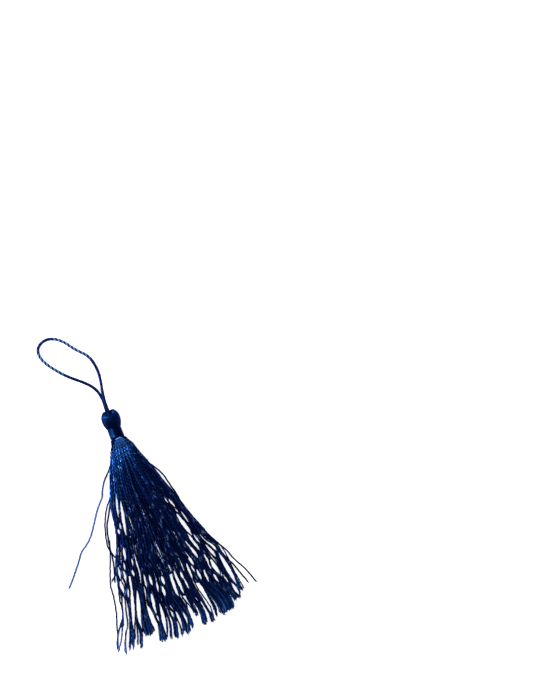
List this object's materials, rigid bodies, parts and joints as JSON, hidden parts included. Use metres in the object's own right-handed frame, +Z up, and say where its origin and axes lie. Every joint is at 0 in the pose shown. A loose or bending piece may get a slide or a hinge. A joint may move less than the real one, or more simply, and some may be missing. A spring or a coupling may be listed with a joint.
{
  "type": "tassel",
  "caption": "Silky tassel lying flat: a twisted cord loop, a wound bulb head, a bound neck and a long skirt of crinkled floss that fans out.",
  "frame": {"origin": "on the surface, at the middle of the small flat that the head rests on", "axes": "+Y along the tassel from the skirt to the loop, +Z up from the surface, +X to the right of the skirt seen from above with the loop on top"},
  "size_m": [0.0658, 0.1268, 0.0069],
  "materials": {
    "cord_floss": "two-ply twisted silky cord, navy to royal blue",
    "head_floss": "satin floss laid lengthwise, navy",
    "binding_thread": "silky thread wound closely, navy",
    "skirt_floss": "glossy crinkled rayon floss, royal blue"
  },
  "bodies": {
    "root": {"loop_cord": "cord_floss", "head": "head_floss", "neck_binding": "binding_thread", "skirt": "skirt_floss"}
  },
  "joints": []
}
